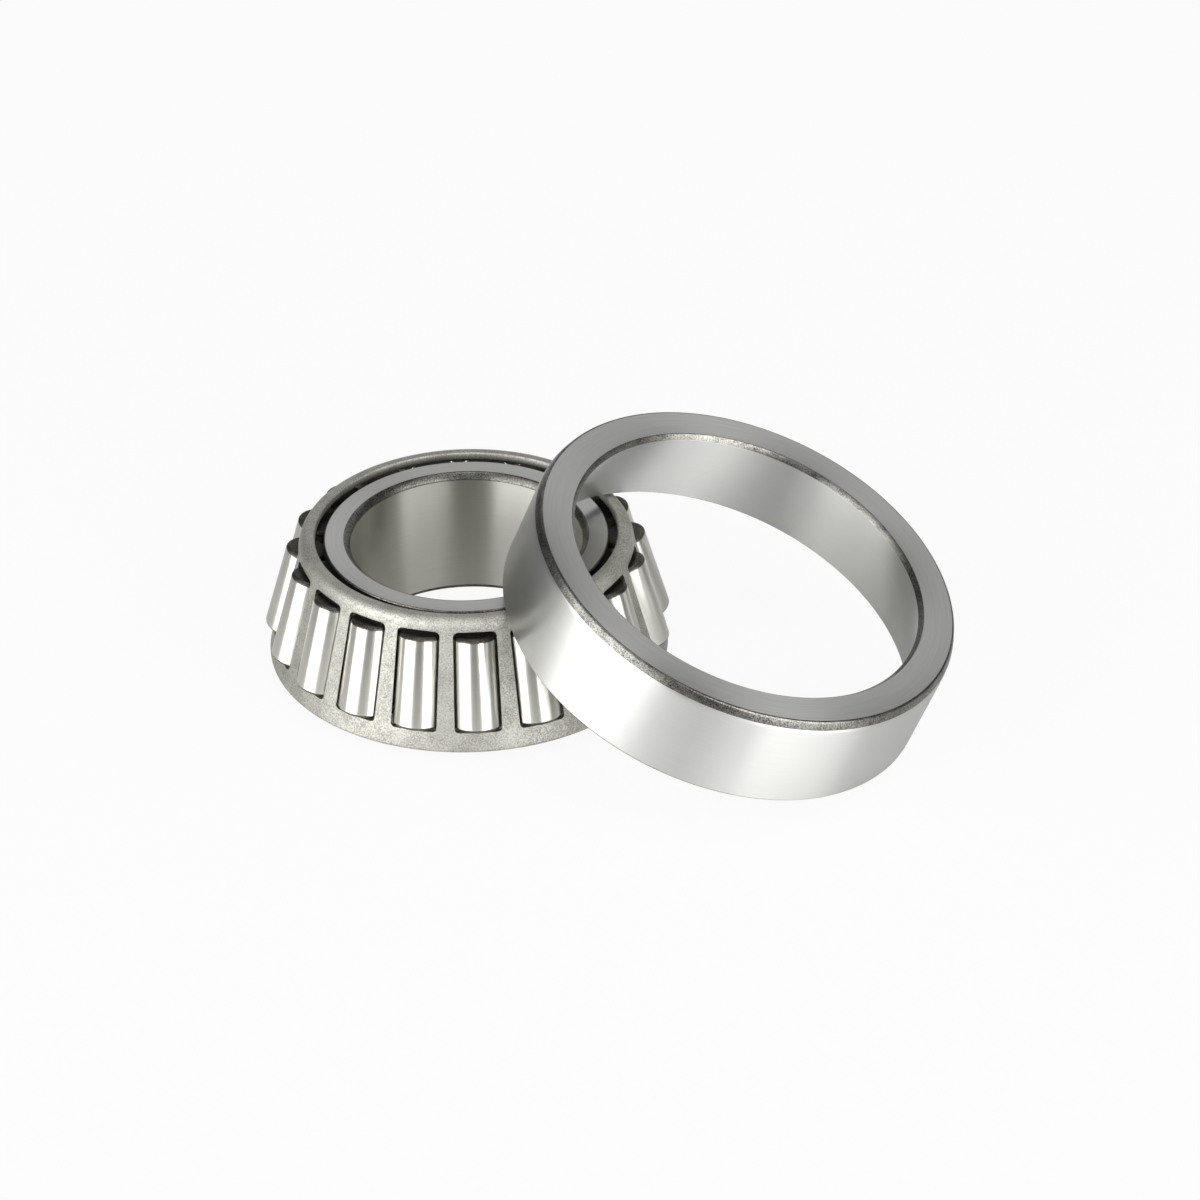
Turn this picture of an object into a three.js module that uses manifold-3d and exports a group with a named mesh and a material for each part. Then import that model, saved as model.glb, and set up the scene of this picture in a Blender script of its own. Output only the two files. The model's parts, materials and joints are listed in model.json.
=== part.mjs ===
// Single-row tapered roller bearing, metric 25 x 47 x 15, shown in its two loose halves.
// The cone assembly (inner ring, cage and rollers) stands on its back face, and the outer ring
// leans on the cage lip with one edge on the ground.
// Millimetres and degrees, +Z up. +X points from the cone assembly to the low side of the outer ring.
// The origin is the middle of the whole object's box, on the ground.
import * as THREE from 'three';
import { mergeVertices } from 'three/addons/utils/BufferGeometryUtils.js';
import Module from 'manifold-3d';

// Overall sizes.
const BORE_DIAMETER = 25;
const OUTSIDE_DIAMETER = 47;
const BEARING_WIDTH = 15; // over both rings when closed, and the width of the inner ring
const OUTER_RING_WIDTH = 11.5;

// Outer ring.
const RACEWAY_ANGLE = 16; // between the outer raceway and the axis
const FRONT_EDGE_WALL = 1.15; // ring thickness at the wide end of its raceway
const BACK_CHAMFER_DEPTH = 1.09;
const BACK_CHAMFER_RISE = 0.43;
const BACK_BORE_CHAMFER = 0.57;
const FRONT_CHAMFER = 0.3;
const FRONT_BORE_CHAMFER = 0.25;

// Rollers.
const ROLLER_LARGE_DIAMETER = 5.34;
const ROLLER_LARGE_END_INSET = 0.55; // below the outer ring's front face, both rings closed
const ROLLER_SMALL_END_INSET = 1.03; // below the outer ring's back face
const ROLLER_END_CHAMFER = 0.3;
const ROLLER_SPACE = 0.8; // least space between the small ends of two neighbours, for a cage bar
const RUNNING_CLEARANCE = 0.03; // between a roller and each raceway
const FIRST_ROLLER_DIRECTION = -81.5;

// Inner ring.
const INNER_BORE_CHAMFER = 0.6;
const LARGE_RIB_HEIGHT = 1.33; // above the raceway, behind the rollers' large ends
const SMALL_RIB_HEIGHT = 0.58;
const LARGE_RIB_CHAMFER = 0.4;
const SMALL_RIB_CHAMFER = 0.12;
const LARGE_END_CLEARANCE = 0.05; // rib to roller end
const SMALL_END_CLEARANCE = 0.3;

// Cage, pressed from sheet steel.
const CAGE_SHEET = 0.9;
const CAGE_INSET = 1.148; // outer surface of the cage inside the outer raceway's cone
const CAGE_LARGE_RING = 2.3; // width of the plain ring beyond the pockets' large ends
const CAGE_TOP_RISE = 0.5; // lip above the inner ring's front face
const CAGE_BEND_RADIUS = 1.2; // outside of the bend into the lip
const CAGE_LIP_CLEARANCE = 0.93; // lip to the small rib
const POCKET_SIDE_CLEARANCE = 0.2;
const POCKET_LARGE_END_CLEARANCE = 0.25;
const POCKET_SMALL_END_CLEARANCE = 0.5;

// How the outer ring lies.
const LEAN_OVERHANG = 11.07; // its raised front edge, inward of the cage's outer top edge
const LEAN_GAP = 0.08; // left between its front bore edge and the cage lip

// Facets.
const RING_FACETS = 76;
const ROLLER_FACETS = 16;
const BEND_FACETS = 4;

const { sin, cos, tan, asin, hypot, PI } = Math;
const radians = THREE.MathUtils.degToRad;

// All three cones, the two raceways and the rollers' own, meet in one point on the axis, the apex.
// Heights are above the back face of the inner ring.
const outerAngle = radians(RACEWAY_ANGLE);
const outerRadius = OUTSIDE_DIAMETER / 2;
const outerFrontHeight = BEARING_WIDTH - OUTER_RING_WIDTH;
const racewayFrontRadius = outerRadius - FRONT_EDGE_WALL;
const apexHeight = outerFrontHeight + racewayFrontRadius / tan(outerAngle);
const slantTo = (height) => (apexHeight - height) / cos(outerAngle);
const largeSlant = slantTo(outerFrontHeight + ROLLER_LARGE_END_INSET);
const smallSlant = slantTo(BEARING_WIDTH - ROLLER_SMALL_END_INSET);
const rollerHalfAngle = asin(ROLLER_LARGE_DIAMETER / 2 / largeSlant);
const rollerTilt = outerAngle - rollerHalfAngle;
const rollerLargeEnd = largeSlant * cos(rollerHalfAngle); // distance from the apex along its axis
const rollerSmallEnd = smallSlant * cos(rollerHalfAngle);
const smallEndRadius = rollerSmallEnd * tan(rollerHalfAngle);
const halfPitch = asin((smallEndRadius + ROLLER_SPACE / 2) / (rollerSmallEnd * sin(rollerTilt)));
const rollerCount = Math.floor(PI / halfPitch);

// A point of the axial section, [radius, height], from its place in a roller's own directions:
// distance from the apex along the roller's axis, and offset outward across that axis.
function sectionPoint(distance, offset) {
  const radius = distance * sin(rollerTilt) + offset * cos(rollerTilt);
  const height = apexHeight - distance * cos(rollerTilt) + offset * sin(rollerTilt);
  return [radius, height];
}

// The same, where the face square to the roller's axis at that distance meets a given radius.
function faceHeightAt(distance, radius) {
  const offset = (radius - distance * sin(rollerTilt)) / cos(rollerTilt);
  return sectionPoint(distance, offset)[1];
}

// A closed ring turned from its section, listed anticlockwise as [radius, height].
function turnedRing(section, facets) {
  const points = [...section, section[0]].map(([radius, height]) => new THREE.Vector2(radius, height));
  const geometry = new THREE.LatheGeometry(points, facets);
  geometry.rotateX(PI / 2); // the lathe turns about Y: bring its axis to Z
  return geometry;
}

function steel(colour, roughness) {
  return new THREE.MeshStandardMaterial({ color: colour, roughness, metalness: 1 });
}

function namedMesh(name, geometry, material) {
  const mesh = new THREE.Mesh(geometry, material);
  mesh.name = name;
  return mesh;
}

// Inner ring.
const largeRibFace = rollerLargeEnd + LARGE_END_CLEARANCE;
const smallRibFace = rollerSmallEnd - SMALL_END_CLEARANCE;
const racewayAtLargeRib = sectionPoint(largeRibFace, -largeRibFace * tan(rollerHalfAngle));
const racewayAtSmallRib = sectionPoint(smallRibFace, -smallRibFace * tan(rollerHalfAngle));
const largeRibRadius = racewayAtLargeRib[0] + LARGE_RIB_HEIGHT;
const smallRibRadius = racewayAtSmallRib[0] + SMALL_RIB_HEIGHT;

function innerRing() {
  const bore = BORE_DIAMETER / 2;
  const section = [
    [bore, INNER_BORE_CHAMFER],
    [bore + INNER_BORE_CHAMFER, 0],
    [largeRibRadius - LARGE_RIB_CHAMFER, 0],
    [largeRibRadius, LARGE_RIB_CHAMFER],
    [largeRibRadius, faceHeightAt(largeRibFace, largeRibRadius)],
    racewayAtLargeRib,
    racewayAtSmallRib,
    [smallRibRadius, faceHeightAt(smallRibFace, smallRibRadius)],
    [smallRibRadius, BEARING_WIDTH - SMALL_RIB_CHAMFER],
    [smallRibRadius - SMALL_RIB_CHAMFER, BEARING_WIDTH],
    [bore + INNER_BORE_CHAMFER, BEARING_WIDTH],
    [bore, BEARING_WIDTH - INNER_BORE_CHAMFER],
  ];
  return namedMesh('inner_ring', turnedRing(section, RING_FACETS), steel('#a9a9a7', 0.35));
}

// One roller, lying in its own axis directions: +Z from its large end to its small end.
const rollerLength = rollerLargeEnd - rollerSmallEnd;

function rollerGeometry() {
  const taper = tan(rollerHalfAngle);
  const radiusAt = (distance) => distance * taper - RUNNING_CLEARANCE;
  const large = radiusAt(rollerLargeEnd - ROLLER_END_CHAMFER);
  const small = radiusAt(rollerSmallEnd + ROLLER_END_CHAMFER);
  const points = [
    [0, 0],
    [radiusAt(rollerLargeEnd) - ROLLER_END_CHAMFER, 0],
    [large, ROLLER_END_CHAMFER],
    [small, rollerLength - ROLLER_END_CHAMFER],
    [radiusAt(rollerSmallEnd) - ROLLER_END_CHAMFER, rollerLength],
    [0, rollerLength],
  ].map(([radius, height]) => new THREE.Vector2(radius, height));
  return new THREE.LatheGeometry(points, ROLLER_FACETS).rotateX(PI / 2);
}

// The place of roller number `index`: its large end, with its axis pointing up to the apex.
function rollerPlace(index) {
  const direction = radians(FIRST_ROLLER_DIRECTION) + (index * 2 * PI) / rollerCount;
  const [radius, height] = sectionPoint(rollerLargeEnd, 0);
  const place = new THREE.Group();
  place.position.set(radius * cos(direction), radius * sin(direction), height);
  place.rotation.set(0, -rollerTilt, direction, 'ZYX');
  place.updateMatrix();
  return place.matrix;
}

function roller(index) {
  const name = `roller_${String(index + 1).padStart(2, '0')}`;
  const mesh = namedMesh(name, rollerGeometry(), steel('#d9dadb', 0.12));
  rollerPlace(index).decompose(mesh.position, mesh.quaternion, mesh.scale);
  return mesh;
}

// Cage: its section follows the outer raceway, bends inward at the top and ends in the lip.
const outerRacewayRadius = (height) => (apexHeight - height) * tan(outerAngle);
const cageRadius = (height, depth) => outerRacewayRadius(height) - (CAGE_INSET + depth) / cos(outerAngle);
const cageTop = BEARING_WIDTH + CAGE_TOP_RISE;
const bendHeight = cageTop - CAGE_BEND_RADIUS;
const bendCentreRadius = cageRadius(bendHeight, CAGE_BEND_RADIUS);
const lipRadius = smallRibRadius + CAGE_LIP_CLEARANCE;

function bendPoints(radius) {
  const points = [];
  for (let step = 0; step <= BEND_FACETS; step += 1) {
    const angle = outerAngle + (step / BEND_FACETS) * (PI / 2 - outerAngle);
    points.push([bendCentreRadius + radius * cos(angle), bendHeight + radius * sin(angle)]);
  }
  return points;
}

function cageSection() {
  const pocketEnd = rollerLargeEnd + POCKET_LARGE_END_CLEARANCE;
  const pocketFoot = faceHeightAt(pocketEnd, cageRadius(outerFrontHeight, 0));
  const bottom = pocketFoot - CAGE_LARGE_RING * cos(outerAngle);
  const inside = bendPoints(CAGE_BEND_RADIUS - CAGE_SHEET).reverse();
  return [
    [cageRadius(bottom, CAGE_SHEET), bottom],
    [cageRadius(bottom, 0), bottom],
    ...bendPoints(CAGE_BEND_RADIUS),
    [lipRadius, cageTop],
    [lipRadius, cageTop - CAGE_SHEET],
    ...inside,
  ];
}

// A pocket is cut by a plain cone, larger than a roller by the pocket's clearances.
function pocketCutter() {
  const foot = rollerLargeEnd + POCKET_LARGE_END_CLEARANCE;
  const head = rollerSmallEnd - POCKET_SMALL_END_CLEARANCE;
  const radiusAt = (distance) => distance * tan(rollerHalfAngle) + POCKET_SIDE_CLEARANCE;
  const cutter = new THREE.CylinderGeometry(radiusAt(head), radiusAt(foot), foot - head, ROLLER_FACETS);
  cutter.rotateX(PI / 2);
  cutter.translate(0, 0, (foot - head) / 2 - POCKET_LARGE_END_CLEARANCE);
  return cutter;
}

function manifoldOf(wasm, geometry) {
  const bare = geometry.clone();
  bare.deleteAttribute('normal');
  bare.deleteAttribute('uv');
  const merged = mergeVertices(bare, 1e-4);
  const vertProperties = new Float32Array(merged.attributes.position.array);
  const triVerts = new Uint32Array(merged.index.array);
  return new wasm.Manifold(new wasm.Mesh({ numProp: 3, vertProperties, triVerts }));
}

function geometryOf(solid) {
  const { vertProperties, triVerts } = solid.getMesh();
  const geometry = new THREE.BufferGeometry();
  geometry.setAttribute('position', new THREE.BufferAttribute(vertProperties, 3));
  geometry.setIndex(new THREE.BufferAttribute(triVerts, 1));
  geometry.computeVertexNormals();
  return geometry;
}

function cage(wasm) {
  let solid = manifoldOf(wasm, turnedRing(cageSection(), RING_FACETS));
  const cutter = pocketCutter();
  for (let index = 0; index < rollerCount; index += 1) {
    const pocket = cutter.clone().applyMatrix4(rollerPlace(index));
    solid = solid.subtract(manifoldOf(wasm, pocket));
  }
  return namedMesh('cage', geometryOf(solid), steel('#9c9c99', 0.55));
}

// Outer ring, in its own frame: front face at height 0, back face on top.
function outerRingSection() {
  const taper = tan(outerAngle);
  const backRadius = racewayFrontRadius - OUTER_RING_WIDTH * taper;
  return [
    [racewayFrontRadius + FRONT_BORE_CHAMFER, 0],
    [outerRadius - FRONT_CHAMFER, 0],
    [outerRadius, FRONT_CHAMFER],
    [outerRadius, OUTER_RING_WIDTH - BACK_CHAMFER_DEPTH],
    [outerRadius - BACK_CHAMFER_RISE, OUTER_RING_WIDTH],
    [backRadius + BACK_BORE_CHAMFER, OUTER_RING_WIDTH],
    [backRadius + BACK_BORE_CHAMFER * taper, OUTER_RING_WIDTH - BACK_BORE_CHAMFER],
    [racewayFrontRadius - FRONT_BORE_CHAMFER * taper, FRONT_BORE_CHAMFER],
  ];
}

// The place of the leaning ring's front face centre, [distance from the inner ring's axis, height],
// with its low edge on the ground and its raised edge over the cone assembly.
const frontEdgeRadius = outerRadius - FRONT_CHAMFER;

function leanPlace(lean) {
  const raisedEdge = bendCentreRadius + CAGE_BEND_RADIUS - LEAN_OVERHANG;
  return [raisedEdge + frontEdgeRadius * cos(lean), frontEdgeRadius * sin(lean)];
}

// Space between the round of the cage lip and the ring's front bore edges, at a given lean.
function leanSpace(lean) {
  const [distance, frontHeight] = leanPlace(lean);
  const section = outerRingSection();
  let least = Infinity;
  for (const [radius, height] of [section[0], section.at(-1)]) {
    for (let turn = PI / 2; turn <= PI; turn += PI / 720) {
      const x = distance + radius * cos(turn) * cos(lean) + height * sin(lean);
      const z = frontHeight - radius * cos(turn) * sin(lean) + height * cos(lean);
      const fromAxis = hypot(x, radius * sin(turn));
      least = Math.min(least, hypot(fromAxis - bendCentreRadius, z - bendHeight) - CAGE_BEND_RADIUS);
    }
  }
  return least;
}

// The ring comes down on the cage lip: the smallest lean that leaves the lean gap, above the one
// that brings its raised edge level with the top of the cage.
function restingLean() {
  let low = asin(cageTop / (2 * frontEdgeRadius));
  let high = PI / 3;
  while (high - low > 1e-6) {
    const middle = (low + high) / 2;
    if (leanSpace(middle) > LEAN_GAP) {
      high = middle;
    } else {
      low = middle;
    }
  }
  return high;
}

function outerRing() {
  const mesh = namedMesh('outer_ring', turnedRing(outerRingSection(), RING_FACETS), steel('#b4b4b2', 0.3));
  const lean = restingLean();
  const [distance, height] = leanPlace(lean);
  mesh.position.set(distance, 0, height);
  mesh.rotation.set(0, lean, 0);
  return mesh;
}

const wasm = await Module();
wasm.setup();

const coneAssembly = new THREE.Group();
coneAssembly.add(innerRing(), cage(wasm));
for (let index = 0; index < rollerCount; index += 1) {
  coneAssembly.add(roller(index));
}

const bearing = new THREE.Group();
bearing.add(coneAssembly, outerRing());

// Both axes lie in the plane y = 0. Centre the whole box on the origin along X.
const extent = new THREE.Box3().setFromObject(bearing, true);
bearing.position.x = -(extent.min.x + extent.max.x) / 2;
bearing.updateMatrixWorld(true);

export default bearing;
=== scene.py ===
# %% [markdown]
# # A tapered roller bearing in two loose halves
#
# The bearing has four kinds of piece: an inner ring, a cage, tapered rollers and an outer ring.
# The first three stay together and stand on the inner ring's back face. The outer ring is loose,
# and leans on the lip of the cage.
#
# The frame already holds every piece at its right size and place, but with flat facets. On
# polished steel each facet shows as a stripe, so every piece is made again here as a fine mesh
# that stands exactly where its plain twin is.

# %% Load the frame
import json
import math

import bmesh
import bpy
from mathutils import Matrix, Vector


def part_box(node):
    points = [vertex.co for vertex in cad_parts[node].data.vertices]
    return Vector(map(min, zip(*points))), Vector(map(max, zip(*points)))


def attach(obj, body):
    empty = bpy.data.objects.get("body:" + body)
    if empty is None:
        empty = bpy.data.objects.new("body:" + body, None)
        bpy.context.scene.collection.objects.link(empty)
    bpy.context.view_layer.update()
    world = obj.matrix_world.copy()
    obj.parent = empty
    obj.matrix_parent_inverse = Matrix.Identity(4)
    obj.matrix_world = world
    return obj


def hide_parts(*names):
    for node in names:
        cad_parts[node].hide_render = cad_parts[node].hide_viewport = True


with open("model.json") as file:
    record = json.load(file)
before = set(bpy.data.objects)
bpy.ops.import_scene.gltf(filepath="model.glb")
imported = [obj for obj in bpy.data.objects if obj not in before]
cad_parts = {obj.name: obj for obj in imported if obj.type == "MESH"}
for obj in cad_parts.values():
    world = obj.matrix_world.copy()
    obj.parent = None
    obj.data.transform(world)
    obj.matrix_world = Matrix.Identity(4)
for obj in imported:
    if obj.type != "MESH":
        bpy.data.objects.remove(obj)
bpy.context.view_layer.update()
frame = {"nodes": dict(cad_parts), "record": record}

MM = 0.001

# %% [markdown]
# ## Where things are
#
# The axis of the inner ring is the middle of its box. The axis of the leaning ring comes from the
# mount on its upper face, and each roller's axis comes from the joint that it turns on. Reading
# these from the frame means that nothing here has to be fitted by eye.

# %% Axes from the frame
ring_low, ring_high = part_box("inner_ring")
INNER_AXIS = Vector(((ring_low[0] + ring_high[0]) / 2, 0, 0))
UP = Vector((0, 0, 1))
mounts = {mount["name"]: mount for mount in frame["record"]["mounts"]}
joints = {joint["name"]: joint for joint in frame["record"]["behaviour"]["joints"]}
OUTER_DIRECTION = Vector(mounts["outer_ring_back_face"]["axis"]).normalized()
roller_names = sorted(name for name in frame["nodes"] if name.startswith("roller_"))
print("inner axis at x =", round(INNER_AXIS.x / MM, 3), "mm;", len(roller_names), "rollers")
print("outer ring leans", round(math.degrees(math.acos(OUTER_DIRECTION.z)), 2), "degrees")

# %% [markdown]
# ## The bearing's sizes
#
# A tapered roller bearing is drawn from one point. The two raceways and the rollers are cones,
# and all of them have their tips in the same place on the axis, the apex. That is what lets a
# cone roll on a cone without slipping. So a few sizes and angles give every other one.

# %% Sizes, in millimetres and radians
BORE_RADIUS = 12.5
OUTSIDE_RADIUS = 23.5
BEARING_WIDTH = 15.0
OUTER_RING_WIDTH = 11.5
RACEWAY_ANGLE = math.radians(16)
FRONT_EDGE_WALL = 1.15
ROLLER_LARGE_RADIUS = 2.67
LARGE_END_INSET = 0.55
SMALL_END_INSET = 1.03
RUNNING_CLEARANCE = 0.03

outer_front = BEARING_WIDTH - OUTER_RING_WIDTH
raceway_front = OUTSIDE_RADIUS - FRONT_EDGE_WALL
raceway_back = raceway_front - OUTER_RING_WIDTH * math.tan(RACEWAY_ANGLE)
APEX = outer_front + raceway_front / math.tan(RACEWAY_ANGLE)
large_slant = (APEX - outer_front - LARGE_END_INSET) / math.cos(RACEWAY_ANGLE)
small_slant = (APEX - BEARING_WIDTH + SMALL_END_INSET) / math.cos(RACEWAY_ANGLE)
ROLLER_ANGLE = math.asin(ROLLER_LARGE_RADIUS / large_slant)
ROLLER_TILT = RACEWAY_ANGLE - ROLLER_ANGLE
large_end = large_slant * math.cos(ROLLER_ANGLE)
small_end = small_slant * math.cos(ROLLER_ANGLE)
ROLLER_LENGTH = large_end - small_end


def section_point(distance, offset):
    """[radius, height] from a place along a roller's axis, down from the apex, and across it."""
    radius = distance * math.sin(ROLLER_TILT) + offset * math.cos(ROLLER_TILT)
    height = APEX - distance * math.cos(ROLLER_TILT) + offset * math.sin(ROLLER_TILT)
    return radius, height


def face_height(distance, radius):
    """Height at that radius of the plane square to a roller's axis."""
    offset = (radius - distance * math.sin(ROLLER_TILT)) / math.cos(ROLLER_TILT)
    return section_point(distance, offset)[1]


print("apex", round(APEX, 2), "mm up; rollers", round(ROLLER_LENGTH, 2), "mm long, tilted",
      round(math.degrees(ROLLER_TILT), 2), "degrees")

# %% [markdown]
# ## The camera
#
# The camera comes first, because every later choice is judged through it. It looks down at about
# a third of a right angle with a long lens, from far enough away that the rings' circles stay
# close to true ellipses. Depth of field stays off, so that all of the steel is sharp.

# %% Camera
CAMERA_AZIMUTH = math.radians(23.706)
CAMERA_ELEVATION = math.radians(32.636)
CAMERA_ROLL = math.radians(-0.687)
CAMERA_DISTANCE = 520 * MM
CAMERA_AIM = Vector((-5.16, 10.71, 2.96)) * MM
CAMERA_LENS = 142.0

bpy.ops.object.select_all(action="DESELECT")
bpy.ops.object.camera_add()
camera = bpy.context.object
camera.name = "studio_camera"
turn = Matrix.Rotation(CAMERA_AZIMUTH, 3, "Z")
turn = turn @ Matrix.Rotation(math.pi / 2 - CAMERA_ELEVATION, 3, "X")
turn = turn @ Matrix.Rotation(CAMERA_ROLL, 3, "Z")
camera.rotation_euler = turn.to_euler()
camera.location = CAMERA_AIM + turn @ Vector((0, 0, CAMERA_DISTANCE))
camera.data.lens = CAMERA_LENS
camera.data.clip_start = 0.01
camera.data.dof.use_dof = False
bpy.context.scene.camera = camera
print("camera at", [round(value / MM, 1) for value in camera.location], "mm")

# %% [markdown]
# ## Turning a section
#
# Rings and rollers are turned parts, so they are made as on a lathe: the outline of one side is
# drawn, and then spun about the axis. A cylinder primitive with bevels would also give a ring,
# but a drawn outline holds every chamfer, rib and groove at its real size.
#
# The outline is traced with the extrude operator from a single point. Its corners are then
# rounded with a vertex bevel, since no real edge is perfectly sharp, and a rounded edge is what
# catches a thin line of light.

# %% Trace an outline
SAME_PLACE = 1e-3  # mm; corners nearer than this are one corner
WIDE_ROUNDING = 1.0  # mm; a rounding wider than this needs more segments to look round
WIDE_SEGMENTS = 6
NARROW_SEGMENTS = 3


def start_at_a_point(name, corner):
    """A new mesh in edit mode that holds a single vertex at [radius, height]."""
    bpy.ops.object.select_all(action="DESELECT")
    bpy.ops.mesh.primitive_plane_add(size=MM, location=(0, 0, 0))
    piece = bpy.context.object
    piece.name = name
    piece.data.name = name
    bpy.ops.object.mode_set(mode="EDIT")
    bpy.ops.mesh.merge(type="CENTER")
    bpy.ops.transform.translate(value=(corner[0] * MM, 0, corner[1] * MM))
    return piece


def select_vertices(piece, wanted):
    """In edit mode, select the vertices whose [radius, height] in mm passes the test."""
    bpy.ops.mesh.select_mode(type="VERT")
    bpy.ops.mesh.select_all(action="DESELECT")
    mesh = bmesh.from_edit_mesh(piece.data)
    for vertex in mesh.verts:
        vertex.select = bool(wanted(math.hypot(vertex.co.x, vertex.co.y) / MM, vertex.co.z / MM))
    mesh.select_flush_mode()
    bmesh.update_edit_mesh(piece.data)


def is_at(corner, radius, height):
    """True where a vertex stands on that corner of an outline."""
    return math.hypot(radius - corner[0], height - corner[1]) < SAME_PLACE


def trace(name, corners, closed=True):
    """Extrude one vertex from corner to corner; a closed outline is joined up at the end."""
    piece = start_at_a_point(name, corners[0])
    for before, after in zip(corners, corners[1:]):
        step = ((after[0] - before[0]) * MM, 0, (after[1] - before[1]) * MM)
        bpy.ops.mesh.extrude_region_move(TRANSFORM_OT_translate={"value": step})
    if closed:
        first, last = corners[0], corners[-1]
        select_vertices(piece, lambda r, h: is_at(first, r, h) or is_at(last, r, h))
        bpy.ops.mesh.edge_face_add()
    return piece


def round_corners(piece, corners):
    """Bevel each corner that has a third value, the radius of its rounding."""
    count = len(corners)
    for index, corner in enumerate(corners):
        if len(corner) < 3:
            continue
        here = Vector(corner[:2])
        incoming = here - Vector(corners[index - 1][:2])
        outgoing = Vector(corners[(index + 1) % count][:2]) - here
        tangent = corner[2] * math.tan(incoming.angle(outgoing) / 2)
        select_vertices(piece, lambda r, h: is_at(corner, r, h))
        segments = WIDE_SEGMENTS if corner[2] > WIDE_ROUNDING else NARROW_SEGMENTS
        bpy.ops.mesh.bevel(offset=tangent * MM, segments=segments, affect="VERTICES")


# %% [markdown]
# Grinding and honing leave very fine grooves that run round the part, and they stretch every
# reflection across themselves. To show that, the shader has to know which way "round" is. So the
# outline carries its own length with it as an attribute, and after the spin that length and the
# angle become a UV map in real millimetres.

# %% Spin it and give it a UV map
RING_STEPS = 240
ROLLER_STEPS = 72
WELD_DISTANCE = 1e-7  # metres
ON_AXIS = 1e-6  # metres
SMOOTH_ANGLE = math.radians(25)  # a sharper edge than this stays sharp


def mark_length(piece):
    """Store on each vertex of the outline its distance along the outline, in mm."""
    bpy.ops.object.mode_set(mode="OBJECT")
    mesh = piece.data
    links = {vertex.index: [] for vertex in mesh.vertices}
    for edge in mesh.edges:
        links[edge.vertices[0]].append(edge.vertices[1])
        links[edge.vertices[1]].append(edge.vertices[0])
    ends = [index for index, near in links.items() if len(near) == 1]
    here, before, length = (ends or [0])[0], None, 0.0
    along = mesh.attributes.new("along", "FLOAT", "POINT")
    for _ in mesh.vertices:
        along.data[here].value = length
        ahead = [index for index in links[here] if index != before]
        if not ahead:
            break
        length += (mesh.vertices[ahead[0]].co - mesh.vertices[here].co).length / MM
        here, before = ahead[0], here
    bpy.ops.object.mode_set(mode="EDIT")
    return length


def spin(piece, steps):
    """Turn the outline about Z into a closed solid."""
    bpy.ops.mesh.select_all(action="SELECT")
    bpy.ops.mesh.spin(steps=steps, angle=2 * math.pi, center=(0, 0, 0), axis=(0, 0, 1))
    bpy.ops.mesh.select_all(action="SELECT")
    bpy.ops.mesh.remove_doubles(threshold=WELD_DISTANCE)
    bpy.ops.mesh.normals_make_consistent(inside=False)
    bpy.ops.object.mode_set(mode="OBJECT")


def wrap_uv(piece, radius, length):
    """UV in mm: U along the outline, so across the grooves, and V round the axis."""
    mesh = piece.data
    along = mesh.attributes["along"].data
    layer = mesh.uv_layers.new(name="turning")
    for face in mesh.polygons:
        middle = math.atan2(face.center.y, face.center.x)
        first = along[face.vertices[0]].value
        for corner in face.loop_indices:
            index = mesh.loops[corner].vertex_index
            place = mesh.vertices[index].co
            on_axis = math.hypot(place.x, place.y) < ON_AXIS
            angle = middle if on_axis else math.atan2(place.y, place.x)
            angle -= 2 * math.pi * round((angle - middle) / (2 * math.pi))
            reach = along[index].value
            reach -= length * round((reach - first) / length)
            layer.data[corner].uv = (reach, angle * radius)


def turned(name, corners, steps, closed=True):
    """A solid turned from its outline, still standing on the origin."""
    piece = trace(name, corners, closed)
    round_corners(piece, corners)
    length = mark_length(piece)
    spin(piece, steps)
    wrap_uv(piece, max(corner[0] for corner in corners), length)
    bpy.ops.object.shade_smooth_by_angle(angle=SMOOTH_ANGLE)
    print(name, len(piece.data.polygons), "faces, outline", round(length, 1), "mm long")
    return piece


def put_in_place(piece, location, direction):
    """Stand the piece with its Z along a direction, and move that into its mesh."""
    piece.rotation_euler = UP.rotation_difference(direction).to_euler()
    piece.location = location
    bpy.ops.object.select_all(action="DESELECT")
    piece.select_set(True)
    bpy.context.view_layer.objects.active = piece
    bpy.ops.object.transform_apply(location=True, rotation=True, scale=True)


# %% [markdown]
# ## The inner ring
#
# The cone-shaped raceway lies between two ribs. The large rib carries the thick ends of the
# rollers, and the small one only keeps them from falling out. Beside each rib a narrow groove
# lets the grinding wheel run out. The bore has a broad chamfer at both ends, so that the ring
# starts straight on its shaft.

# %% Inner ring
BORE_CHAMFER = 0.6
BORE_ROUNDING = 0.3
LARGE_RIB_HEIGHT = 1.33
LARGE_RIB_CHAMFER = 0.4
LARGE_RIB_ROUNDING = 0.15
SMALL_RIB_HEIGHT = 0.58
SMALL_RIB_CHAMFER = 0.12
SMALL_RIB_ROUNDING = 0.1
RIB_EDGE_ROUNDING = 0.08
LARGE_END_CLEARANCE = 0.05
SMALL_END_CLEARANCE = 0.3
RELIEF_WIDTH = 0.5
RELIEF_DEPTH = 0.15


def raceway_at(distance, depth=0.0):
    """[radius, height] on the inner raceway, or that deep under it."""
    return section_point(distance, -distance * math.tan(ROLLER_ANGLE) - depth)


large_rib_face = large_end + LARGE_END_CLEARANCE
small_rib_face = small_end - SMALL_END_CLEARANCE
large_rib_radius = raceway_at(large_rib_face)[0] + LARGE_RIB_HEIGHT
small_rib_radius = raceway_at(small_rib_face)[0] + SMALL_RIB_HEIGHT

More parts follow.
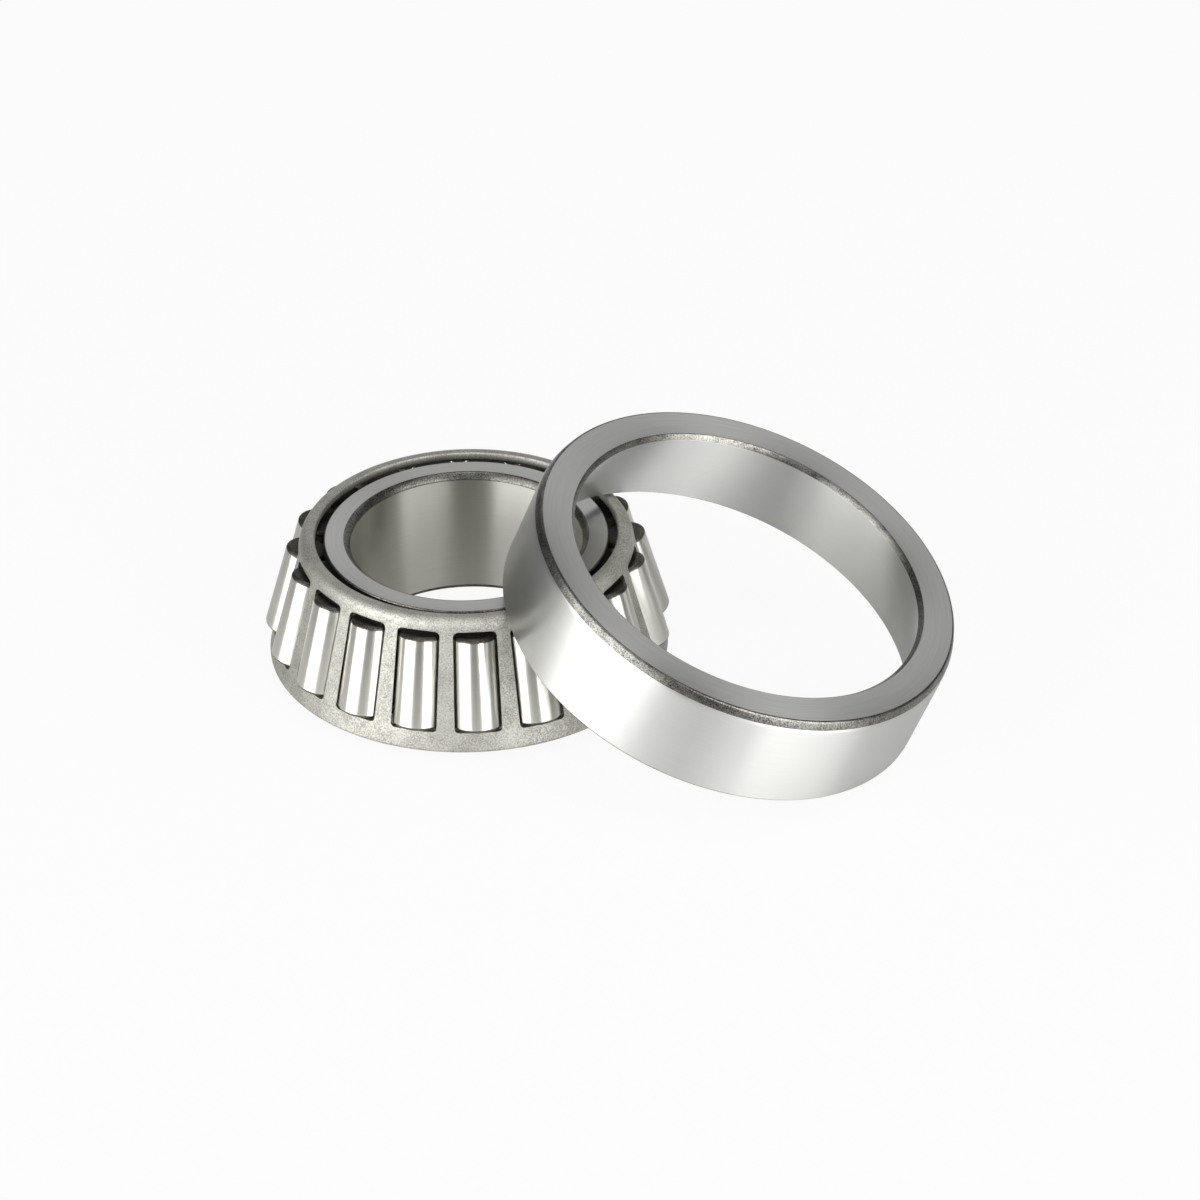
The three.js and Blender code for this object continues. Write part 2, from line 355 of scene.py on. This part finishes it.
inner_corners = [
    (BORE_RADIUS, BORE_CHAMFER, BORE_ROUNDING),
    (BORE_RADIUS + BORE_CHAMFER, 0, BORE_ROUNDING),
    (large_rib_radius - LARGE_RIB_CHAMFER, 0, LARGE_RIB_ROUNDING),
    (large_rib_radius, LARGE_RIB_CHAMFER, LARGE_RIB_ROUNDING),
    (large_rib_radius, face_height(large_rib_face, large_rib_radius), RIB_EDGE_ROUNDING),
    raceway_at(large_rib_face, RELIEF_DEPTH),
    raceway_at(large_rib_face - RELIEF_WIDTH, RELIEF_DEPTH),
    raceway_at(large_rib_face - RELIEF_WIDTH - RELIEF_DEPTH),
    raceway_at(small_rib_face + RELIEF_WIDTH + RELIEF_DEPTH),
    raceway_at(small_rib_face + RELIEF_WIDTH, RELIEF_DEPTH),
    raceway_at(small_rib_face, RELIEF_DEPTH),
    (small_rib_radius, face_height(small_rib_face, small_rib_radius), RIB_EDGE_ROUNDING),
    (small_rib_radius, BEARING_WIDTH - SMALL_RIB_CHAMFER, SMALL_RIB_ROUNDING),
    (small_rib_radius - SMALL_RIB_CHAMFER, BEARING_WIDTH, SMALL_RIB_ROUNDING),
    (BORE_RADIUS + BORE_CHAMFER, BEARING_WIDTH, BORE_ROUNDING),
    (BORE_RADIUS, BEARING_WIDTH - BORE_CHAMFER, BORE_ROUNDING),
]
inner_ring = turned("inner_ring_ground", inner_corners, RING_STEPS)

# %% [markdown]
# ## The outer ring
#
# Its inside is the other raceway, so the wall is thick at the back and thin at the front. The
# broad chamfer at the back leads it into its housing. The chamfer runs softly into the outside,
# because the two meet at a small angle and are ground together, so that corner's rounding is wide.

# %% Outer ring
BACK_CHAMFER_DEPTH = 1.09
BACK_CHAMFER_RISE = 0.43
BACK_BORE_CHAMFER = 0.57
FRONT_CHAMFER = 0.3
FRONT_BORE_CHAMFER = 0.25
FRONT_FACE_ROUNDING = 0.1
FRONT_OUTSIDE_ROUNDING = 0.2
BACK_OUTSIDE_ROUNDING = 1.6
BACK_FACE_ROUNDING = 0.3
BACK_BORE_ROUNDING = 0.12
FRONT_BORE_ROUNDING = 0.15

slope = math.tan(RACEWAY_ANGLE)
below_back = OUTER_RING_WIDTH - BACK_BORE_CHAMFER
outer_corners = [
    (raceway_front + FRONT_BORE_CHAMFER, 0, FRONT_FACE_ROUNDING),
    (OUTSIDE_RADIUS - FRONT_CHAMFER, 0, FRONT_FACE_ROUNDING),
    (OUTSIDE_RADIUS, FRONT_CHAMFER, FRONT_OUTSIDE_ROUNDING),
    (OUTSIDE_RADIUS, OUTER_RING_WIDTH - BACK_CHAMFER_DEPTH, BACK_OUTSIDE_ROUNDING),
    (OUTSIDE_RADIUS - BACK_CHAMFER_RISE, OUTER_RING_WIDTH, BACK_FACE_ROUNDING),
    (raceway_back + BACK_BORE_CHAMFER, OUTER_RING_WIDTH, BACK_BORE_ROUNDING),
    (raceway_back + BACK_BORE_CHAMFER * slope, below_back, BACK_BORE_ROUNDING),
    (raceway_front - FRONT_BORE_CHAMFER * slope, FRONT_BORE_CHAMFER, FRONT_BORE_ROUNDING),
]
outer_ring = turned("outer_ring_ground", outer_corners, RING_STEPS)

# %% [markdown]
# ## The rollers
#
# A roller is a short cone, almost a cylinder, with chamfered ends. Its thick end is ground to
# slide on the large rib and has a shallow dimple in the middle. One roller is turned, and the
# others are copies of it.

# %% First roller
END_CHAMFER = 0.3
DIMPLE_RADIUS = 1.1
DIMPLE_DEPTH = 0.12
DIMPLE_ROUNDING = 0.1
END_ROUNDING = 0.12
SIDE_ROUNDING = 0.3


def roller_radius(distance):
    """Radius of the roller at a place along its axis, a little under its rolling size."""
    return distance * math.tan(ROLLER_ANGLE) - RUNNING_CLEARANCE


large_radius = roller_radius(large_end)
small_radius = roller_radius(small_end)
roller_corners = [
    (0, DIMPLE_DEPTH),
    (DIMPLE_RADIUS - DIMPLE_DEPTH, DIMPLE_DEPTH, DIMPLE_ROUNDING),
    (DIMPLE_RADIUS, 0, DIMPLE_ROUNDING),
    (large_radius - END_CHAMFER, 0, END_ROUNDING),
    (roller_radius(large_end - END_CHAMFER), END_CHAMFER, SIDE_ROUNDING),
    (roller_radius(small_end + END_CHAMFER), ROLLER_LENGTH - END_CHAMFER, SIDE_ROUNDING),
    (small_radius - END_CHAMFER, ROLLER_LENGTH, END_ROUNDING),
    (0, ROLLER_LENGTH),
]
first_roller = turned("roller_polished", roller_corners, ROLLER_STEPS, closed=False)

# %% [markdown]
# ## The cage
#
# The cage is pressed from one disc of sheet steel: drawn into a cone, turned inward at the top,
# and punched with a pocket for each roller. Its section is turned like the rings, with two extra
# corners on each side, just beyond the ends of the pockets. They give the mesh a ring of edges
# there, so that the cut faces stay between those rings and the plain bands above and below them
# keep their even shading.

# %% Cage blank
CAGE_SHEET = 0.9
CAGE_INSET = 1.148
CAGE_LARGE_RING = 2.3
CAGE_TOP_RISE = 0.5
CAGE_BEND_RADIUS = 1.2
CAGE_LIP_CLEARANCE = 0.93
BOTTOM_INSIDE_ROUNDING = 0.2
BOTTOM_OUTSIDE_ROUNDING = 0.35
LIP_TOP_ROUNDING = 0.3
LIP_UNDER_ROUNDING = 0.2
POCKET_LARGE_END_CLEARANCE = 0.25
POCKET_SMALL_END_CLEARANCE = 0.5
STRIP_MARGIN = 0.2  # from the pockets to the rings of edges
STEPS_PER_POCKET = 16


def cage_radius(height, depth=0.0):
    """Radius of the cage's outer surface, or of a surface that deep under it."""
    return (APEX - height) * slope - (CAGE_INSET + depth) / math.cos(RACEWAY_ANGLE)


pocket_foot = large_end + POCKET_LARGE_END_CLEARANCE
pocket_head = small_end - POCKET_SMALL_END_CLEARANCE
cage_top = BEARING_WIDTH + CAGE_TOP_RISE
pocket_foot_height = face_height(pocket_foot, cage_radius(outer_front))
pocket_head_height = face_height(pocket_head, cage_radius(BEARING_WIDTH))
cage_bottom = pocket_foot_height - CAGE_LARGE_RING * math.cos(RACEWAY_ANGLE)
lip_radius = small_rib_radius + CAGE_LIP_CLEARANCE
under_lip = cage_top - CAGE_SHEET
below_pockets = pocket_foot_height - STRIP_MARGIN
above_pockets = pocket_head_height + STRIP_MARGIN
below_pockets_inside = below_pockets - CAGE_SHEET * math.sin(RACEWAY_ANGLE)
above_pockets_inside = above_pockets - CAGE_SHEET * math.sin(RACEWAY_ANGLE)
cage_corners = [
    (cage_radius(below_pockets_inside, CAGE_SHEET), below_pockets_inside),
    (cage_radius(cage_bottom, CAGE_SHEET), cage_bottom, BOTTOM_INSIDE_ROUNDING),
    (cage_radius(cage_bottom), cage_bottom, BOTTOM_OUTSIDE_ROUNDING),
    (cage_radius(below_pockets), below_pockets),
    (cage_radius(above_pockets), above_pockets),
    (cage_radius(cage_top), cage_top, CAGE_BEND_RADIUS),
    (lip_radius, cage_top, LIP_TOP_ROUNDING),
    (lip_radius, under_lip, LIP_UNDER_ROUNDING),
    (cage_radius(under_lip, CAGE_SHEET), under_lip, CAGE_BEND_RADIUS - CAGE_SHEET),
    (cage_radius(above_pockets_inside, CAGE_SHEET), above_pockets_inside),
]
print("pockets between heights", round(below_pockets, 2), "and", round(above_pockets, 2), "mm")
cage = turned("cage_pressed", cage_corners, STEPS_PER_POCKET * len(roller_names))

# %% [markdown]
# A pocket is cut with a shape a little larger than a roller: a cone primitive on the roller's own
# axis. That is also how a real pocket ends up with sides that lean over its roller and keep it
# in. The cutter's rims are beveled, so that the pockets get round corners.

# %% Pocket cutters, one for each roller
POCKET_SIDE_CLEARANCE = 0.2
POCKET_CORNER = 0.45
POCKET_CORNER_SEGMENTS = 4
CUTTER_STEPS = 64


def roller_place(name):
    """Where a roller's joint puts the middle of its thick end, and which way its axis points."""
    joint = joints[name + "_spin"]
    return Vector(joint["pos_m"]), Vector(joint["axis"]).normalized()


def pocket_radius(distance):
    """Radius of the cutter at a place along the roller's axis."""
    return distance * math.tan(ROLLER_ANGLE) + POCKET_SIDE_CLEARANCE


bpy.ops.object.select_all(action="DESELECT")
bpy.ops.mesh.primitive_cone_add(
    vertices=CUTTER_STEPS,
    radius1=pocket_radius(pocket_foot) * MM,
    radius2=pocket_radius(pocket_head) * MM,
    depth=(pocket_foot - pocket_head) * MM,
    location=(0, 0, ((pocket_foot - pocket_head) / 2 - POCKET_LARGE_END_CLEARANCE) * MM),
)
cutter = bpy.context.object
bpy.ops.object.transform_apply(location=True)
bpy.ops.object.mode_set(mode="EDIT")
bpy.ops.mesh.select_mode(type="FACE")
bpy.ops.mesh.select_all(action="DESELECT")
cutter_mesh = bmesh.from_edit_mesh(cutter.data)
for face in cutter_mesh.faces:
    face.select = abs(face.normal.z) > math.cos(SMOOTH_ANGLE)
bmesh.update_edit_mesh(cutter.data)
bpy.ops.mesh.region_to_loop()
bpy.ops.mesh.bevel(offset=POCKET_CORNER * MM, segments=POCKET_CORNER_SEGMENTS, affect="EDGES")
bpy.ops.object.mode_set(mode="OBJECT")

cutters = []
for name in roller_names:
    bpy.ops.object.select_all(action="DESELECT")
    cutter.select_set(True)
    bpy.context.view_layer.objects.active = cutter
    bpy.ops.object.duplicate(linked=False)
    copy = bpy.context.object
    location, direction = roller_place(name)
    put_in_place(copy, location - INNER_AXIS, direction)
    cutters.append(copy)
bpy.ops.object.select_all(action="DESELECT")
for copy in cutters:
    copy.select_set(True)
bpy.context.view_layer.objects.active = cutters[0]
bpy.ops.object.join()
all_cutters = bpy.context.object
print("cutters joined:", len(all_cutters.data.polygons), "faces")

# %% [markdown]
# The boolean modifier does the punching. A small bevel after it stands for the tumbling, which
# rounds every sharp edge that a punch leaves. A cut face has long thin neighbours that would tilt
# the smooth shading, so the last modifier lets the large faces decide how the light falls.

# %% Punch the pockets and soften their edges
BURR_WIDTH = 0.07
BURR_SEGMENTS = 2
BURR_ANGLE = math.radians(40)  # only edges sharper than this are rounded

bpy.ops.object.select_all(action="DESELECT")
cage.select_set(True)
bpy.context.view_layer.objects.active = cage
punch = cage.modifiers.new("pockets", "BOOLEAN")
punch.operation = "DIFFERENCE"
punch.solver = "EXACT"
punch.object = all_cutters
bpy.ops.object.modifier_apply(modifier=punch.name)
bpy.data.objects.remove(all_cutters, do_unlink=True)
bpy.data.objects.remove(cutter, do_unlink=True)
soften = cage.modifiers.new("burr", "BEVEL")
soften.width = BURR_WIDTH * MM
soften.segments = BURR_SEGMENTS
soften.limit_method = "ANGLE"
soften.angle_limit = BURR_ANGLE
bpy.ops.object.modifier_apply(modifier=soften.name)
bpy.ops.object.shade_smooth_by_angle(angle=SMOOTH_ANGLE)
even = cage.modifiers.new("even_shading", "WEIGHTED_NORMAL")
even.keep_sharp = True
bpy.ops.object.modifier_apply(modifier=even.name)
print("cage now has", len(cage.data.polygons), "faces")

# %% [markdown]
# ## Each piece to its place
#
# Every piece was made standing on the origin, which keeps its outline easy to read. Now each is
# moved to where its plain twin stands, and its place goes into its mesh. The rollers are copies
# of one roller, each with its own mesh, because each one turns on its own joint.
#
# The frame is then told which body carries each piece, and which plain twin the piece takes the place
# of.

# %% Everything to its place
put_in_place(inner_ring, INNER_AXIS, UP)
put_in_place(cage, INNER_AXIS, UP)
outer_back = Vector(mounts["outer_ring_back_face"]["pos_m"])
outer_back.y = 0  # the mount's point is on the wall of the ring, straight to one side of its axis
put_in_place(outer_ring, outer_back - OUTER_DIRECTION * OUTER_RING_WIDTH * MM, OUTER_DIRECTION)
rollers = []
for name in roller_names:
    bpy.ops.object.select_all(action="DESELECT")
    first_roller.select_set(True)
    bpy.context.view_layer.objects.active = first_roller
    bpy.ops.object.duplicate(linked=False)
    copy = bpy.context.object
    copy.name = name + "_polished"
    put_in_place(copy, *roller_place(name))
    rollers.append(copy)
bpy.data.objects.remove(first_roller, do_unlink=True)
print(len(rollers), "rollers in their pockets")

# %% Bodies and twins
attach(inner_ring, "inner_ring")
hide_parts("inner_ring")
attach(outer_ring, "outer_ring")
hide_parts("outer_ring")
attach(cage, "cage")
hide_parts("cage")
for name, roller in zip(roller_names, rollers):
    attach(roller, name)
    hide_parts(name)

# %% [markdown]
# ## One helper for every material
#
# A colour written as a hex value is in sRGB, as a colour picker shows it, while Blender's sockets
# take linear values. One function turns the one into the other, and another adds a node with its
# settings and links, so that each finish below reads as a short list.

# %% Material helpers
COLOUR_A, COLOUR_B, COLOUR_OUT = 6, 7, 2  # a Mix node's colour sockets share their names with others
FACTOR, FIRST, SECOND = 0, 1, 2  # a Mix Shader's two inputs have one name


def linear(code):
    """A linear RGBA colour from an sRGB hex value such as #c8c8c2."""
    channels = [int(code[place:place + 2], 16) / 255 for place in (1, 3, 5)]
    return [c / 12.92 if c <= 0.04045 else ((c + 0.055) / 1.055) ** 2.4 for c in channels] + [1.0]


def add(tree, kind, settings=None, values=None, links=None):
    """Add a node, set its options and its sockets' values, and link outputs into its sockets."""
    made = tree.nodes.new(kind)
    for option, value in (settings or {}).items():
        setattr(made, option, value)
    for socket, value in (values or {}).items():
        made.inputs[socket].default_value = value
    for socket, output in (links or {}).items():
        tree.links.new(output, made.inputs[socket])
    return made


def steel(name, roughness, anisotropy=0.0):
    """A new metal material: its tree, and its shader with the finish's own constants."""
    material = bpy.data.materials.new(name)
    material.use_nodes = True
    tree = material.node_tree
    shader = tree.nodes["Principled BSDF"]
    shader.inputs["Metallic"].default_value = 1.0
    shader.inputs["Roughness"].default_value = roughness
    shader.inputs["Anisotropic"].default_value = anisotropy
    if anisotropy:
        tangent = add(tree, "ShaderNodeTangent", {"direction_type": "UV_MAP", "uv_map": "turning"})
        tree.links.new(tangent.outputs["Tangent"], shader.inputs["Tangent"])
    return material, tree, shader


# %% [markdown]
# ## Ground and honed steel
#
# Bearing rings are ground: a wheel leaves grooves finer than a hair that all run round the part.
# Light that falls on them is spread across the grooves and hardly at all along them, which is why
# a bore or a raceway shows straight soft bands from edge to edge. The shader's anisotropy does
# the same. It spreads light along the U direction of the UV map, and U runs across the grooves.
#
# Real grooves are a few micrometres wide. They are drawn much coarser here, because at their real
# size they would be lost between two samples of the render.

# %% Ground steel
GROOVE_WIDTH = 0.16
GROOVE_LENGTH = 9.0
GROOVE_DEPTH = 0.00012
GROOVE_WEAR = 0.04  # how far the roughness strays from its middle value


def ground_steel(name, dark, light, roughness, anisotropy, depth=GROOVE_DEPTH):
    """Steel with fine grooves round its axis: a streaky tone, streaky roughness and a light bump."""
    material, tree, shader = steel(name, roughness, anisotropy)
    turning = add(tree, "ShaderNodeUVMap", {"uv_map": "turning"})
    grooves = add(tree, "ShaderNodeMapping",
                  values={"Scale": (1 / GROOVE_WIDTH, 1 / GROOVE_LENGTH, 1)},
                  links={"Vector": turning.outputs["UV"]})
    streaks = add(tree, "ShaderNodeTexNoise",
                  values={"Scale": 1.0, "Detail": 3.0, "Roughness": 0.6},
                  links={"Vector": grooves.outputs["Vector"]})
    tone = add(tree, "ShaderNodeMapRange",
               values={"From Min": 0.35, "From Max": 0.65},
               links={"Value": streaks.outputs["Fac"]})
    colour = add(tree, "ShaderNodeMix", {"data_type": "RGBA"},
                 values={COLOUR_A: linear(dark), COLOUR_B: linear(light)},
                 links={"Factor": tone.outputs["Result"]})
    tree.links.new(colour.outputs[COLOUR_OUT], shader.inputs["Base Color"])
    worn = add(tree, "ShaderNodeMapRange",
               values={"From Min": 0.3, "From Max": 0.7,
                       "To Min": roughness * (1 - GROOVE_WEAR), "To Max": roughness * (1 + GROOVE_WEAR)},
               links={"Value": streaks.outputs["Fac"]})
    tree.links.new(worn.outputs["Result"], shader.inputs["Roughness"])
    bump = add(tree, "ShaderNodeBump", values={"Strength": 1.0, "Distance": depth * MM},
               links={"Height": streaks.outputs["Fac"]})
    tree.links.new(bump.outputs["Normal"], shader.inputs["Normal"])
    return material


# End faces are ground with the flat of a wheel: duller and greyer, with the grooves as rings.
ground_face = ground_steel("ground bearing steel end face", "#bbbbb9", "#c4c4c2", 0.36, 0.8)
# The bore and the raceways are ground and honed inside: broad straight bands, wall to wall.
ground_bore = ground_steel("ground bearing steel bore", "#c3c2ba", "#c8c7bf", 0.34, 1.0)
honed_raceway = ground_steel("honed bearing steel raceway", "#cbcbc9", "#cececc", 0.36, 1.0)
# The outside is ground between a wheel and a rest: bright, with soft ends to its bands.
ground_outside = ground_steel("ground bearing steel outside", "#c8c8c6", "#cbcbc9", 0.38, 0.9)
# Rollers are lapped last of all: the smoothest and lightest of the finishes, nearly a mirror.
LAPPED_DEPTH = 0.00005
lapped_roller = ground_steel("lapped bearing steel roller", "#d2d1c9", "#d5d4cc", 0.30, 0.8,
                             LAPPED_DEPTH)
print("grooves drawn", GROOVE_WIDTH, "mm wide; real ones are under 0.01 mm")

# %% [markdown]
# ## Tumbled steel
#
# The chamfers are only turned, and the cage is pressed from sheet. Both are then tumbled with
# small stones, which knocks off the burrs and leaves a fine pitted skin: it has no direction, it
# is rougher than ground steel, and up close it looks speckled. The pits are drawn about twice
# their real size, so that they show.

# %% Tumbled steel
PIT_DEPTH = 0.012
PIT_WEAR = 0.15  # how far the roughness strays from its middle value
PATCH = 12  # a broad patch is this many pits wide
PATCH_SHARE = 0.25


def tumbled_steel(name, dark, light, roughness, pit, depth=PIT_DEPTH):
    """Steel with a pitted skin: speckled tone, speckled roughness and small bumps."""
    material, tree, shader = steel(name, roughness)
    place = add(tree, "ShaderNodeTexCoord")
    pits = add(tree, "ShaderNodeTexNoise",
               values={"Scale": 1 / (pit * MM), "Detail": 2.0, "Roughness": 0.7},
               links={"Vector": place.outputs["Object"]})
    patches = add(tree, "ShaderNodeTexNoise",
                  values={"Scale": 1 / (PATCH * pit * MM), "Detail": 2.0},
                  links={"Vector": place.outputs["Object"]})
    mixed = add(tree, "ShaderNodeMix", values={"Factor": PATCH_SHARE},
                links={"A": pits.outputs["Fac"], "B": patches.outputs["Fac"]})
    tone = add(tree, "ShaderNodeMapRange",
               values={"From Min": 0.36, "From Max": 0.62},
               links={"Value": mixed.outputs["Result"]})
    colour = add(tree, "ShaderNodeMix", {"data_type": "RGBA"},
                 values={COLOUR_A: linear(dark), COLOUR_B: linear(light)},
                 links={"Factor": tone.outputs["Result"]})
    tree.links.new(colour.outputs[COLOUR_OUT], shader.inputs["Base Color"])
    worn = add(tree, "ShaderNodeMapRange",
               values={"From Min": 0.3, "From Max": 0.7,
                       "To Min": roughness * (1 + PIT_WEAR), "To Max": roughness * (1 - PIT_WEAR)},
               links={"Value": pits.outputs["Fac"]})
    tree.links.new(worn.outputs["Result"], shader.inputs["Roughness"])
    bump = add(tree, "ShaderNodeBump", values={"Strength": 1.0, "Distance": depth * MM},
               links={"Height": pits.outputs["Fac"]})
    tree.links.new(bump.outputs["Normal"], shader.inputs["Normal"])
    return material


# Chamfers keep the dark skin of the heat treatment, so they outline the rings.
turned_chamfer = tumbled_steel("turned and tumbled bearing steel chamfer", "#33322f", "#868580",
                               0.33, 0.15)
roller_chamfer = tumbled_steel("tumbled roller chamfer", "#3f3d3a", "#827f79", 0.33, 0.16)
# A roller's thin end touches nothing; its speckled grey is darkened as painted shade, the darkest of
# all.
# The painted shade keeps the narrow gap under the cage's lip black and free of glints.
roller_thin_end_with_painted_shade = tumbled_steel("tumbled roller end darkened as painted shade", "#2e2d2a", "#5c5a55", 0.45, 0.16)
# The cage is soft sheet, lighter and duller, and its speckle shows all over.
CAGE_PIT_DEPTH = 0.014
pressed_cage = tumbled_steel("pressed and tumbled sheet steel cage", "#8b8a84", "#bcbbb3",
                             0.58, 0.17, CAGE_PIT_DEPTH)
print("deepest pit", CAGE_PIT_DEPTH, "mm")

# %% [markdown]
# ## Which face gets which finish
#
# Each turned piece still has its own axis in reach, so a face is recognised by the way it looks:
# out from the axis, in towards it, or along it. Each way is told as a number from -1 to 1, the
# cosine of the angle to it, and the limits below lie between the ways that two neighbouring
# faces look. The cage is the same finish all over.

# %% Finish the faces
STRAIGHT = 0.999  # looks straight along the axis, or straight out from it or in to it
OUTER_RACEWAY_IN = 0.955  # the outer raceway looks inwards by this much
OUTER_RACEWAY_ALONG = 0.29  # and along by no more than this
OUTSIDE_GROUND = 0.96  # the outside is ground to where it rounds off into its back chamfer
INNER_RACEWAY_OUT = 0.95
INNER_RACEWAY_UP = 0.2
ROLLER_SIDE_OUT = 0.99
ROLLER_FOOT_ALONG = 0.99
# The thin end's chamfer goes with the thin end into its painted shade, so it shows no glints in the gap.
ROLLER_HEAD_ALONG = 0.3


def finish_faces(piece, axis_point, axis, materials, choose):
    """Give each face the material that choose(outward, along) names by number."""
    piece.data.materials.clear()
    for material in materials:
        piece.data.materials.append(material)
    for face in piece.data.polygons:
        out = face.center - axis_point
        out = (out - axis * out.dot(axis)).normalized()
        face.material_index = choose(face.normal.dot(out), face.normal.dot(axis))


def outer_finish(outward, along):
    """0 end face, 1 raceway, 2 outside, 3 turned chamfer."""
    if abs(along) > STRAIGHT:
        return 0
    if outward < -OUTER_RACEWAY_IN and abs(along) < OUTER_RACEWAY_ALONG:
        return 1
    if outward > OUTSIDE_GROUND:
        return 2
    return 3


def inner_finish(outward, along):
    """0 end face, 1 bore, 2 raceway, 3 turned chamfer."""
    if abs(along) > STRAIGHT:
        return 0
    if outward < -STRAIGHT:
        return 1
    if outward > INNER_RACEWAY_OUT and along > INNER_RACEWAY_UP:
        return 2
    return 3


def roller_finish(outward, along):
    """0 side and thick end, 1 chamfer at the thick end, 2 thin end with its chamfer."""
    if along > ROLLER_HEAD_ALONG:
        return 2
    if outward > ROLLER_SIDE_OUT or along < -ROLLER_FOOT_ALONG:
        return 0
    return 1


finish_faces(inner_ring, INNER_AXIS, UP,
             (ground_face, ground_bore, honed_raceway, turned_chamfer), inner_finish)
finish_faces(outer_ring, outer_back, OUTER_DIRECTION,
             (ground_face, honed_raceway, ground_outside, turned_chamfer), outer_finish)
for name, roller in zip(roller_names, rollers):
    location, direction = roller_place(name)
    finish_faces(roller, location, direction,
                 (lapped_roller, roller_chamfer, roller_thin_end_with_painted_shade), roller_finish)
cage.data.materials.clear()
cage.data.materials.append(pressed_cage)
print("finishes in use:", [slot.name for slot in inner_ring.data.materials])

# %% [markdown]
# ## The studio
#
# Polished steel has hardly any colour of its own: it shows the room. The room is a glossy white
# table, a tall softbox on the left and one on the right of the camera, a small one overhead and a
# grey wall behind. Between the softboxes it is dark, and that gives each roller its grey middle
# between two bright bands.
#
# The whole background is nearly pure white, far whiter than such a table would look. So the
# table has two faces: rays that come straight from the camera find a white that hardly darkens
# in the shadow of the rings, and rays that come by way of the steel find the glossy table
# itself, whose reflections of the softboxes make the bright bands low on the rings.

# %% Table
FLOOR_SIZE = 6.0
WHITE_SHARE = 0.94  # what is left over shows a faint shadow
bpy.ops.object.select_all(action="DESELECT")
bpy.ops.mesh.primitive_plane_add(size=FLOOR_SIZE, location=(0, 0, 0))
floor = bpy.context.object
floor.name = "studio_table"
acrylic = bpy.data.materials.new("glossy white acrylic table")
acrylic.use_nodes = True
table_tree = acrylic.node_tree
gloss = table_tree.nodes["Principled BSDF"]
gloss.inputs["Base Color"].default_value = linear("#e0e0e0")
gloss.inputs["Roughness"].default_value = 0.12
gloss.inputs["IOR"].default_value = 2.0
white = add(table_tree, "ShaderNodeEmission", values={"Color": linear("#fefefe")})
shadow = add(table_tree, "ShaderNodeBsdfDiffuse", values={"Color": linear("#c0c0c0")})
background = add(table_tree, "ShaderNodeMixShader", values={FACTOR: WHITE_SHARE},
                 links={FIRST: shadow.outputs["BSDF"], SECOND: white.outputs["Emission"]})
ray = add(table_tree, "ShaderNodeLightPath")
both = add(table_tree, "ShaderNodeMixShader",
           links={FACTOR: ray.outputs["Is Camera Ray"], FIRST: gloss.outputs["BSDF"],
                  SECOND: background.outputs["Shader"]})
table_tree.links.new(both.outputs["Shader"], table_tree.nodes["Material Output"].inputs["Surface"])
floor.data.materials.append(acrylic)
print("table", FLOOR_SIZE, "m square")

# %% Room: white where the camera looks, dark grey in the reflections
ROOM_IN_STEEL = 0.11
ROOM_IN_CAMERA = 0.98
world = bpy.data.worlds.new("studio")
bpy.context.scene.world = world
world.use_nodes = True
sky = world.node_tree
look = add(sky, "ShaderNodeLightPath")
level = add(sky, "ShaderNodeMapRange", values={"To Min": ROOM_IN_STEEL, "To Max": ROOM_IN_CAMERA},
            links={"Value": look.outputs["Is Camera Ray"]})
sky.links.new(level.outputs["Result"], sky.nodes["Background"].inputs["Color"])
bpy.context.scene.view_settings.view_transform = "Standard"
print("room", ROOM_IN_STEEL, "in the steel and", ROOM_IN_CAMERA, "behind it")

# %% [markdown]
# Each light is an area light whose brightness is given as radiance, as the steel shows it. The
# power that Blender asks for follows from the radiance and the size, so that a larger softbox
# gives a wider band and not a brighter one. Angles are in degrees round the object: azimuth 0 is
# beside the camera, and left is negative. Distances and sizes are in metres.

# %% Softboxes
def softbox(name, azimuth, elevation, distance, width, height, radiance):
    """A rectangular light that faces the object and is hidden from the camera."""
    around = math.radians(azimuth) + CAMERA_AZIMUTH
    up = math.radians(elevation)
    back = Vector((math.sin(around) * math.cos(up), -math.cos(around) * math.cos(up), math.sin(up)))
    bpy.ops.object.light_add(type="AREA")
    light = bpy.context.object
    light.name = name
    light.data.shape = "RECTANGLE"
    light.data.size = width
    light.data.size_y = height
    light.data.energy = radiance * math.pi * width * height
    light.location = back * distance
    light.rotation_euler = back.to_track_quat("Z", "Y").to_euler()
    light.visible_camera = False
    print(name, "gives", round(light.data.energy, 2), "W")


softbox("left_softbox", -55, 24, 0.6, 0.58, 0.58, 5.0)
softbox("right_softbox", 44, 24, 0.6, 0.50, 0.58, 6.0)
softbox("top_softbox", 0, 84, 0.7, 0.30, 0.30, 3.2)
softbox("back_wall", 172, 28, 0.9, 1.5, 0.8, 0.58)
